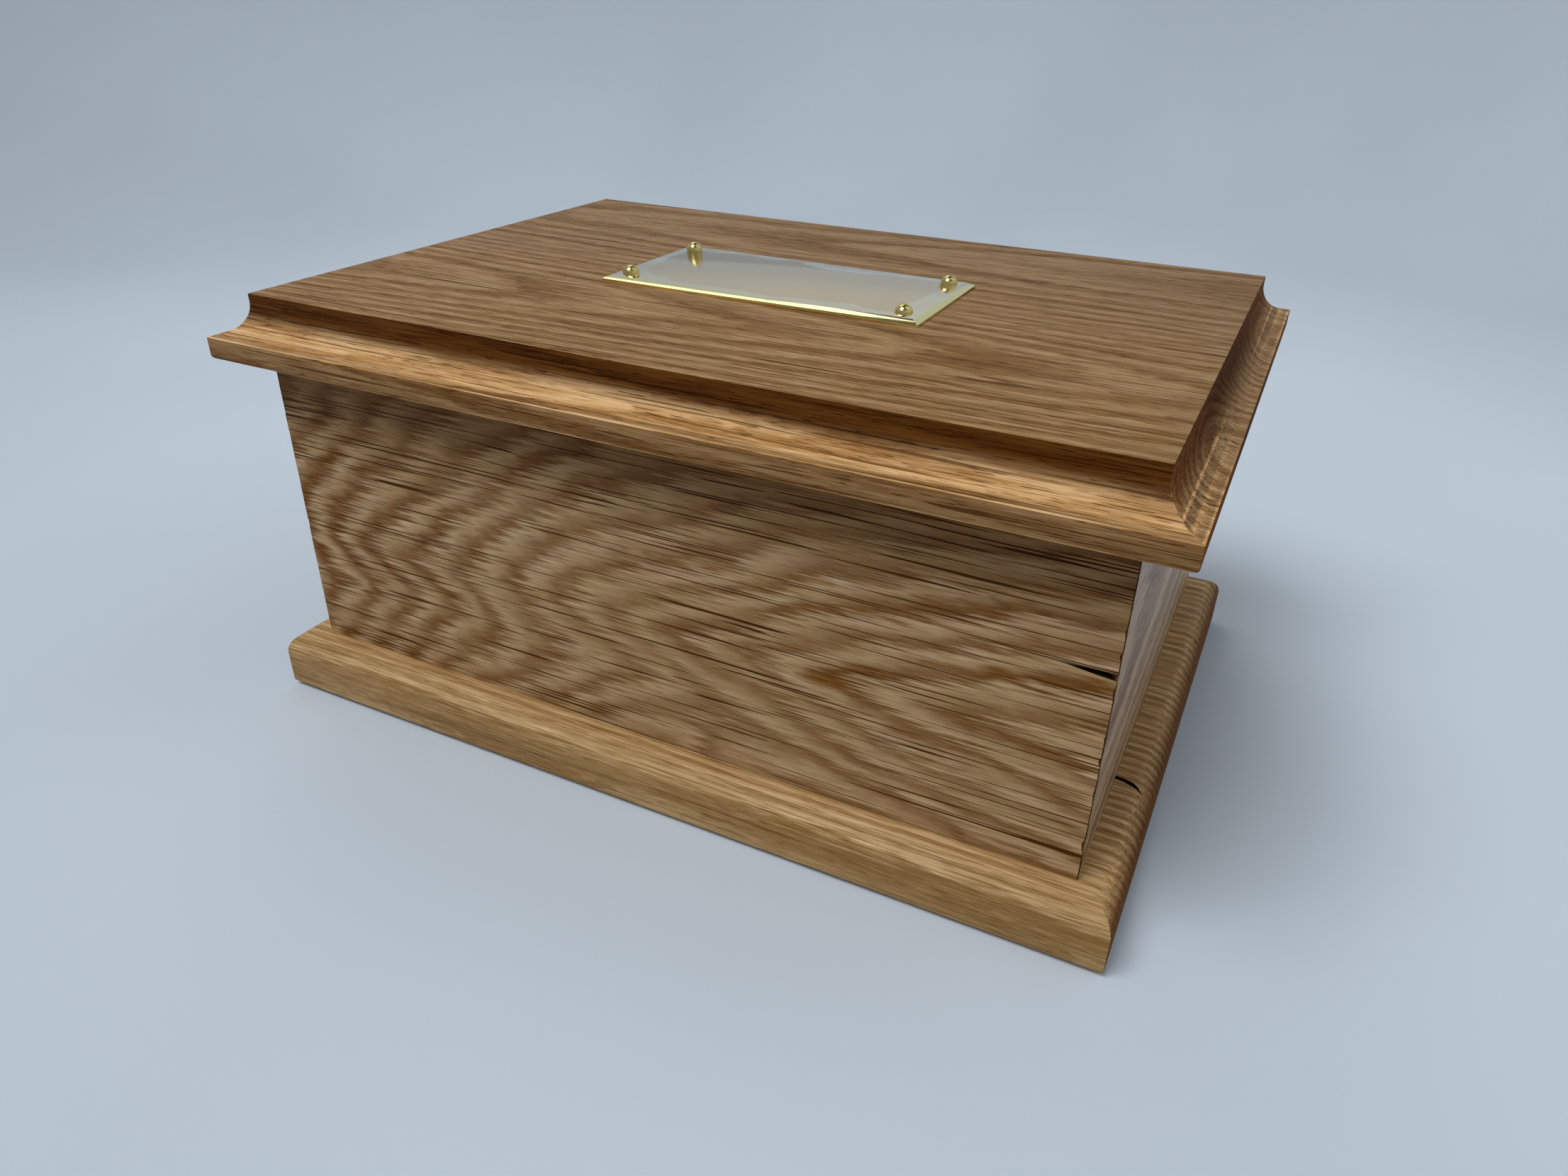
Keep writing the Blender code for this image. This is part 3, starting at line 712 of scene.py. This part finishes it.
def draw_up(net, geometry, level, inset, rise):
    """Extrudes the face that lies at a level by rise, and draws it in by inset on all four sides."""
    height = net.split(net.add("GeometryNodeInputPosition").outputs[0])[2]
    is_top = net.math("GREATER_THAN", height, net.math("SUBTRACT", level, TINY))
    drawn = net.add("GeometryNodeExtrudeMesh", {
        "Mesh": geometry,
        "Selection": is_top,
        "Offset": (0, 0, 1),
        "Offset Scale": rise,
        "Individual": False,
    }, mode="FACES")
    x, y, _ = net.split(net.add("GeometryNodeInputPosition").outputs[0])
    back = net.times(inset, -1.0)
    shift = net.join(net.times(net.math("SIGN", x), back), net.times(net.math("SIGN", y), back), 0.0)
    settings = {"Geometry": drawn.outputs["Mesh"], "Selection": drawn.outputs["Top"], "Offset": shift}
    return net.add("GeometryNodeSetPosition", settings).outputs[0]


MOULDED_BOARD = moulded_board_tree()


def ease_bottom(bm, width):
    """Rounds the bottom edge, all the way round."""
    rim = [edge for edge in bm.edges if all(abs(vert.co.z) < TINY for vert in edge.verts)]
    bmesh.ops.bevel(bm, geom=rim, offset=width, segments=3, profile=0.5, affect="EDGES")


def ease_arrises(bm, width):
    """Sands off every sharp outward edge."""
    arrises = [edge for edge in bm.edges if edge.is_manifold and edge.calc_face_angle_signed() > ARRIS_ANGLE]
    bmesh.ops.bevel(bm, geom=arrises, offset=width, segments=2, profile=0.5, affect="EDGES")


def moulded_board(name, low, high, finish, ease=0.0, arris=ARRIS, **moulding):
    """A moulded board between two corners of the frame, with its edges eased, as a bmesh."""
    size = high - low
    moulding["upright"] = size.z - moulding["band"] - moulding["rise"]
    mesh = grown(name, MOULDED_BOARD, length=size.x, width=size.y, finish=finish, **moulding)
    bm = bmesh.new()
    bm.from_mesh(mesh)
    bpy.data.meshes.remove(mesh)
    bmesh.ops.remove_doubles(bm, verts=bm.verts[:], dist=3 * TINY)
    bmesh.ops.recalc_face_normals(bm, faces=bm.faces[:])
    if ease:
        ease_bottom(bm, ease)
    ease_arrises(bm, arris)
    centre = middle(low, high)
    bmesh.ops.translate(bm, vec=(centre.x, centre.y, low.z), verts=bm.verts[:])
    return bm


def stave(bm, name, joint_y, side):
    """The front (side -1) or back (side 1) of a glued-up board, cut at its glue line."""
    half = bm.copy()
    cut = bmesh.ops.bisect_plane(
        half,
        geom=half.verts[:] + half.edges[:] + half.faces[:],
        dist=TINY / 10,
        plane_co=(0, joint_y, 0),
        plane_no=(0, -side, 0),
        clear_outer=True,
    )
    rim = [item for item in cut["geom_cut"] if isinstance(item, bmesh.types.BMEdge)]
    bmesh.ops.edgeloop_fill(half, edges=rim)
    return mesh_from(half, name)


def whole_box(*nodes):
    """The box round several CAD nodes."""
    boxes = [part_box(node) for node in nodes]
    low = Vector(min(box[0][axis] for box in boxes) for axis in range(3))
    high = Vector(max(box[1][axis] for box in boxes) for axis in range(3))
    return low, high


def add_moulded_pair(kind, body, slot, ease, **moulding):
    """The front and back staves of the lid or the base."""
    nodes = (f"{kind}_front_stave", f"{kind}_back_stave")
    low, high = whole_box(*nodes)
    joint_y = middle(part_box(nodes[0])[1].y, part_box(nodes[1])[0].y)
    board = moulded_board(kind, low, high, WOOD[f"{kind}_front"], ease=ease, **moulding)
    pieces = []
    for side, place, node in ((-1, "front", nodes[0]), (1, "back", nodes[1])):
        half = f"{kind}_{place}"
        piece = piece_from(f"{half}_oak", stave(board, node, joint_y, side), WOOD[half])
        pieces.append((piece, body, slot, [node]))
    board.free()
    return pieces


def add_plate():
    low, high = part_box("name_plate")
    low.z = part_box("lid_front_stave")[1].z
    plate = moulded_board(
        "plate", low, high, PLATE_BRASS, arris=PLATE_ARRIS,
        band=PLATE_RIM, reach=PLATE_BEVEL, rise=high.z - low.z - PLATE_RIM, steps=1, hollow=False,
    )
    piece = piece_from("bevelled_name_plate", mesh_from(plate, "bevelled_name_plate"), PLATE_BRASS)
    return [(piece, "lid", "plate_brass", ["name_plate"])]


# ---- the side boards ----------------------------------------------------------------------------
def gap_at(height, seed, chips):
    """How far a mitre's outer edge stands back from its corner at a height: tight, with a few chips."""
    tall = height / MM
    wander = noise.noise(Vector((tall / 9, seed, 0))) * 0.16
    chip = max(0.0, noise.noise(Vector((tall / 3.2, seed, 4.0))) - 0.18) * 1.9
    return max(0.06, 0.16 + wander + chip * chips) * MM


def mitred_board(name, half_length, outer, low, high, turn, seed, chips):
    """A side board with mitred ends, made as the front one and turned about Z into its place."""
    bm = bmesh.new()
    bmesh.ops.create_cube(bm, size=1.0)
    bmesh.ops.scale(bm, vec=(2 * half_length, BOARD_THICKNESS, high - low), verts=bm.verts[:])
    bmesh.ops.translate(bm, vec=(0, BOARD_THICKNESS / 2 - outer, middle(low, high)), verts=bm.verts[:])
    for vert in bm.verts:
        vert.co.x -= math.copysign(vert.co.y + outer, vert.co.x)
    count = int((high - low) / SLICE)
    for number in range(1, count):
        level = low + (high - low) * number / count
        geometry = bm.verts[:] + bm.edges[:] + bm.faces[:]
        bmesh.ops.bisect_plane(bm, geom=geometry, plane_co=(0, 0, level), plane_no=(0, 0, 1), dist=TINY)
    for vert in bm.verts:
        if vert.co.y < TINY - outer:
            side = math.copysign(1, vert.co.x)
            vert.co.x -= side * gap_at(vert.co.z, seed + side, chips)
    corners = [edge for edge in bm.edges if is_outer_upright(edge, outer)]
    bmesh.ops.bevel(bm, geom=corners, offset=MITRE_ARRIS, segments=1, profile=0.5, affect="EDGES")
    bmesh.ops.transform(bm, matrix=Matrix.Rotation(turn, 4, "Z"), verts=bm.verts[:])
    return mesh_from(bm, name)


def is_outer_upright(edge, outer):
    """Whether an edge is an upright corner on a board's outer face."""
    if len(edge.link_faces) != 2 or edge.calc_face_angle(0) <= CORNER_ANGLE:
        return False
    low, high = sorted((vert.co for vert in edge.verts), key=lambda place: place.z)
    return high.z - low.z > TINY and max(low.y, high.y) < TINY - outer


CHECK_OUTLINE = (              # the front board's end check, as (x, z) in mm
    (111.5, 79.90), (115.5, 80.05), (119.4, 80.15), (123.2, 80.20), (127.0, 80.10),
    (127.0, 78.55), (124.2, 78.62), (121.0, 78.90), (117.4, 79.35), (114.0, 79.75),
)
SHAKE_OUTLINE = (              # the split in the base's right-hand end, as (x, y) in mm
    (124.0, -40.9), (128.0, -41.3), (130.2, -41.9), (131.9, -43.0), (132.6, -43.9),
    (131.4, -44.3), (129.8, -43.5), (127.7, -42.8), (124.0, -42.4),
)
SHAKE_HOOK_OUTLINE = (
    (131.9, -43.6), (132.7, -44.1), (133.8, -45.2), (133.3, -45.3), (132.2, -44.5), (131.6, -43.95),
)
CHECK_DEPTH = 7 * MM
SHAKE_DEPTH = 8 * MM


def cutter(outline, plane, near, far):
    """A closed prism on an outline in millimetres, run between two places along the third axis."""
    bm = bmesh.new()
    flat = []
    for first, second in outline:
        place = (first * MM, near, second * MM) if plane == "XZ" else (first * MM, second * MM, near)
        flat.append(bm.verts.new(place))
    face = bm.faces.new(flat)
    run = (0, far - near, 0) if plane == "XZ" else (0, 0, far - near)
    made = bmesh.ops.extrude_face_region(bm, geom=[face])
    moved = [item for item in made["geom"] if isinstance(item, bmesh.types.BMVert)]
    bmesh.ops.translate(bm, vec=run, verts=moved)
    mesh = mesh_from(bm, "cutter")
    # the crack walls take this painted shade from the cutter
    mesh.materials.append(WOOD["split"])
    block = bpy.data.objects.new("cutter", mesh)
    bpy.context.scene.collection.objects.link(block)
    return block


def split(piece, *cutters):
    """Takes the cutters out of a piece for good, and removes them."""
    for block in cutters:
        cut = piece.modifiers.new("split", "BOOLEAN")
        cut.object = block
        cut.operation = "DIFFERENCE"
        cut.solver = "EXACT"
        # the cut walls take the cutter's near-black oak, painted shade
        cut.material_mode = "TRANSFER"
    graph = bpy.context.evaluated_depsgraph_get()
    mesh = bpy.data.meshes.new_from_object(piece.evaluated_get(graph), depsgraph=graph)
    piece.modifiers.clear()
    piece.data = mesh
    for block in cutters:
        bpy.data.objects.remove(block)


def add_boards():
    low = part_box("base_front_stave")[1].z + TINY
    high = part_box("lid_front_stave")[0].z - TINY
    front_low, front_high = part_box("front_board")
    right_low, right_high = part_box("right_end_board")
    long_side = (right_high.x, -front_low.y)
    short_side = (-front_low.y, right_high.x)
    boards = (
        ("front_board", long_side, 0.0, 11.0, 1.0),
        ("right_end_board", short_side, math.pi / 2, 23.0, 0.3),
        ("back_board", long_side, math.pi, 37.0, 0.3),
        ("left_end_board", short_side, -math.pi / 2, 41.0, 0.3),
    )
    rows = []
    for node, (half_length, outer), turn, seed, chips in boards:
        name = node.replace("_board", "_panel")
        mesh = mitred_board(name, half_length, outer, low, high, turn, seed, chips)
        piece = piece_from(name, mesh, WOOD[node])
        rows.append((piece, "casket", "oak_body", [node]))
    face = front_low.y
    split(rows[0][0], cutter(CHECK_OUTLINE, "XZ", face - CHECK_DEPTH, face + CHECK_DEPTH))
    return rows


# ---- the pins -----------------------------------------------------------------------------------
def domed_pins_tree():
    """Domed pins at the corners of a rectangle, each leaning a little its own way."""
    inputs = {
        "Spacing Along": (FLOAT, 0.09),
        "Spacing Across": (FLOAT, 0.04),
        "Head Radius": (FLOAT, 0.0026),
        "Head Height": (FLOAT, 0.0024),
        "Shank Radius": (FLOAT, 0.0009),
        "Shank Length": (FLOAT, 0.0125),
        "Lean": (FLOAT, 0.05),
        "Seed": ("NodeSocketInt", 3),
        "Finish": (MATERIAL, None),
    }
    net, given, result = new_group("domed_pins", "GeometryNodeTree", inputs, {"Geometry": GEOMETRY})
    corners = {0: given["Spacing Along"], 1: given["Spacing Across"], 2: 2, 3: 2}
    corners = net.add("GeometryNodeMeshGrid", corners).outputs["Mesh"]
    sizes = {"Segments": 40, "Rings": 24, "Radius": given["Head Radius"]}
    ball = net.add("GeometryNodeMeshUVSphere", sizes).outputs[0]
    x, y, z = net.split(net.add("GeometryNodeInputPosition").outputs[0])
    flatter = net.math("DIVIDE", given["Head Height"], given["Head Radius"])
    domed = net.join(x, y, net.times(net.math("MAXIMUM", z, 0.0), flatter))
    head = net.add("GeometryNodeSetPosition", {"Geometry": ball, "Position": domed})
    sizes = {"Vertices": 20, "Radius": given["Shank Radius"], "Depth": given["Shank Length"]}
    shank = net.add("GeometryNodeMeshCylinder", sizes).outputs[0]
    drop = net.join(0, 0, net.times(given["Shank Length"], -0.48))
    shank = net.add("GeometryNodeTransform", {"Geometry": shank, "Translation": drop}).outputs[0]
    joined = net.add("GeometryNodeJoinGeometry")
    net.feed(joined.inputs[0], shank)
    net.feed(joined.inputs[0], head.outputs[0])
    other_way = net.times(given["Lean"], -1.0)
    least = net.join(other_way, other_way, -math.pi)
    most = net.join(given["Lean"], given["Lean"], math.pi)
    limits = {0: least, 1: most, "Seed": given["Seed"]}
    lean = net.add("FunctionNodeRandomValue", limits, data_type="FLOAT_VECTOR").outputs[0]
    turn = net.add("FunctionNodeEulerToRotation", {0: lean}).outputs[0]
    placed = {"Points": corners, "Instance": joined.outputs[0], "Rotation": turn}
    pins = net.add("GeometryNodeInstanceOnPoints", placed).outputs[0]
    net.feed(result.inputs["Geometry"], finished(net, pins, given["Finish"]))
    return net.tree


PIN_LEAN = math.radians(2.5)
HEAD_HEADROOM = 0.1 * MM       # how far the domes stay below the CAD heads
HEAD_SINK = 0.05 * MM


def add_pins():
    nodes = [f"plate_pin_{number}" for number in range(1, 5)]
    low, high = whole_box(*nodes)
    one_low, one_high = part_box(nodes[0])
    head = one_high.x - one_low.x
    plate_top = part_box("name_plate")[1].z
    mesh = grown(
        "plate_pins", domed_pins_tree(),
        spacing_along=high.x - low.x - head, spacing_across=high.y - low.y - head,
        head_radius=head / 2, head_height=one_high.z - plate_top - HEAD_HEADROOM,
        shank_length=plate_top - one_low.z, lean=PIN_LEAN, seed=3, finish=PIN_BRASS,
    )
    centre = middle(low, high)
    mesh.transform(Matrix.Translation((centre.x, centre.y, plate_top - HEAD_SINK)))
    return [(piece_from("domed_plate_pins", mesh, PIN_BRASS), "lid", "pin_brass", nodes)]


# ---- putting the pieces together ----------------------------------------------------------------
def dress(node, material):
    """Gives a CAD node that stays in view its finish."""
    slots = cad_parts[node].material_slots
    if not slots:
        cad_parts[node].data.materials.append(material)
    for slot in slots:
        slot.material = material


def dress_cad_nodes():
    dress("underside_baize", BAIZE)
    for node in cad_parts:
        if "screw" in node:
            dress(node, SCREW_BRASS)
        elif node.startswith("corner_block"):
            dress(node, WOOD["inside_upright"])
        elif node in ("lid_batten_front", "lid_batten_back"):
            dress(node, WOOD["inside"])
        elif node in ("lid_batten_left", "lid_batten_right"):
            dress(node, WOOD["inside_across"])


def add_pieces():
    lid = add_moulded_pair(
        "lid", "lid", "oak_lid", LID_EASE,
        band=LID_BAND, reach=LID_COVE, rise=LID_COVE, steps=ARC_STEPS, hollow=True,
    )
    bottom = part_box("base_front_stave")[0].z
    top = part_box("base_front_stave")[1].z
    base = add_moulded_pair(
        "base", "casket", "oak_base", BASE_EASE,
        band=top - bottom - BASE_ROUND_OVER, reach=BASE_ROUND_OVER, rise=BASE_ROUND_OVER - TINY,
        steps=ARC_STEPS, hollow=False,
    )
    shakes = [
        cutter(outline, "XY", top - SHAKE_DEPTH, top + SHAKE_DEPTH)
        for outline in (SHAKE_OUTLINE, SHAKE_HOOK_OUTLINE)
    ]
    split(base[0][0], *shakes)
    for piece, body, slot, nodes in lid + base + add_boards() + add_plate() + add_pins():
        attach(piece, body)
        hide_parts(*nodes)


# ---- the setting --------------------------------------------------------------------------------
BOWL_FLOOR = 0.75              # radius of the flat floor, in metres
BOWL_FILLET = 0.35
BOWL_HEIGHT = 1.2
BOWL_STEPS = 12
BOWL_SIDES = 96
CLOTH = (0.70, 0.722, 0.739)


def bowl_mesh():
    """A flat round floor that curves up into a wall."""
    outline = [(0.0, 0.0), (BOWL_FLOOR, 0.0)]
    for step in range(1, BOWL_STEPS + 1):
        angle = math.pi / 2 * step / BOWL_STEPS
        outward = BOWL_FLOOR + BOWL_FILLET * math.sin(angle)
        outline.append((outward, BOWL_FILLET * (1 - math.cos(angle))))
    outline.append((BOWL_FLOOR + BOWL_FILLET, BOWL_HEIGHT))
    bm = bmesh.new()
    verts = [bm.verts.new((radius, 0, height)) for radius, height in outline]
    for inner, outer in zip(verts, verts[1:]):
        bm.edges.new((inner, outer))
    swept = bm.verts[:] + bm.edges[:]
    bmesh.ops.spin(bm, geom=swept, cent=(0, 0, 0), axis=(0, 0, 1), angle=math.tau, steps=BOWL_SIDES)
    bmesh.ops.remove_doubles(bm, verts=bm.verts[:], dist=0.00005)
    return mesh_from(bm, "backdrop")


def cloth():
    """Pale cloth with a faint mottle and painted light: darker far from the middle and lighter up the wall.
    """
    material, net, shader = new_material("backdrop_cloth")
    place = net.add("ShaderNodeTexCoord").outputs["Object"]
    soft = net.noise(net.scaled(place, (3.5, 2.5, 3.0)), detail=2.0)
    reach = net.add("ShaderNodeVectorMath", {0: place}, operation="LENGTH").outputs["Value"]
    # painted light: the cloth dims away from the middle and is brightened up the wall
    tone = net.times(net.grade(soft, 0.3, 0.7, 0.97, 1.03), net.grade(reach, 0.35, 1.1, 1.0, 0.78))
    tone = net.times(tone, net.grade(net.split(place)[2], 0.25, 0.55, 1.0, 1.3))
    net.feed(shader.inputs["Base Color"], net.shade(CLOTH, tone))
    shader.inputs["Roughness"].default_value = 0.9
    shader.inputs["Specular IOR Level"].default_value = 0.2
    return material


def add_backdrop():
    backdrop = piece_from("backdrop", bowl_mesh(), cloth())


DAYLIGHT = (0.80, 0.895, 1.0)
PALE_DAYLIGHT = (0.95, 0.98, 1.0)
SKY_STRENGTH = 0.11
SOFTBOXES = (                  # name, place, width and height in metres, watts, colour
    ("front_softbox", (-0.70, -1.35, 2.65), (1.7, 1.5), 62.0, DAYLIGHT),
    ("fill_softbox", (1.25, 0.45, 2.3), (1.4, 1.4), 5.0, DAYLIGHT),
    # hung where the name plate's front bevel mirrors it
    ("bevel_softbox", (-0.94, 0.80, 1.8), (1.2, 0.6), 3.8, PALE_DAYLIGHT),
)


def add_softbox(name, place, size, power, colour):
    """A softbox that points at the middle of the casket's underside."""
    light = bpy.data.lights.new(name, "AREA")
    light.shape = "RECTANGLE"
    light.size, light.size_y = size
    light.energy = power
    light.color = colour
    lamp = bpy.data.objects.new(name, light)
    lamp.location = place
    lamp.rotation_euler = (-Vector(place)).to_track_quat("-Z", "Y").to_euler()
    bpy.context.scene.collection.objects.link(lamp)


def add_lights():
    for softbox in SOFTBOXES:
        add_softbox(*softbox)
    world = bpy.data.worlds.new("studio")
    world.use_nodes = True
    background = world.node_tree.nodes["Background"]
    background.inputs["Color"].default_value = (*DAYLIGHT, 1)
    background.inputs["Strength"].default_value = SKY_STRENGTH
    bpy.context.scene.world = world


CAMERA_PLACE = Vector((0.146745, -0.301894, 0.213973))     # in metres
CAMERA_AZIMUTH = math.radians(25.836)
CAMERA_ELEVATION = math.radians(29.26)
CAMERA_ROLL = math.radians(1.261)
CAMERA_LENS = 25.128           # on a sensor this wide, both in mm
CAMERA_SENSOR = 36


def add_camera():
    level = math.cos(CAMERA_ELEVATION)
    back = Vector((
        math.sin(CAMERA_AZIMUTH) * level,
        -math.cos(CAMERA_AZIMUTH) * level,
        math.sin(CAMERA_ELEVATION),
    ))
    right = Vector((0, 0, 1)).cross(back).normalized()
    up = back.cross(right)
    axes = Matrix((right, up, back)).transposed() @ Matrix.Rotation(CAMERA_ROLL, 3, "Z")
    data = bpy.data.cameras.new("camera")
    data.lens = CAMERA_LENS
    data.sensor_width = CAMERA_SENSOR
    data.clip_start = 0.01
    camera = bpy.data.objects.new("camera", data)
    camera.matrix_world = Matrix.Translation(CAMERA_PLACE) @ axes.to_4x4()
    bpy.context.scene.collection.objects.link(camera)
    bpy.context.scene.camera = camera


dress_cad_nodes()
add_pieces()
add_backdrop()
add_lights()
add_camera()
bpy.context.scene.view_settings.view_transform = "Standard"
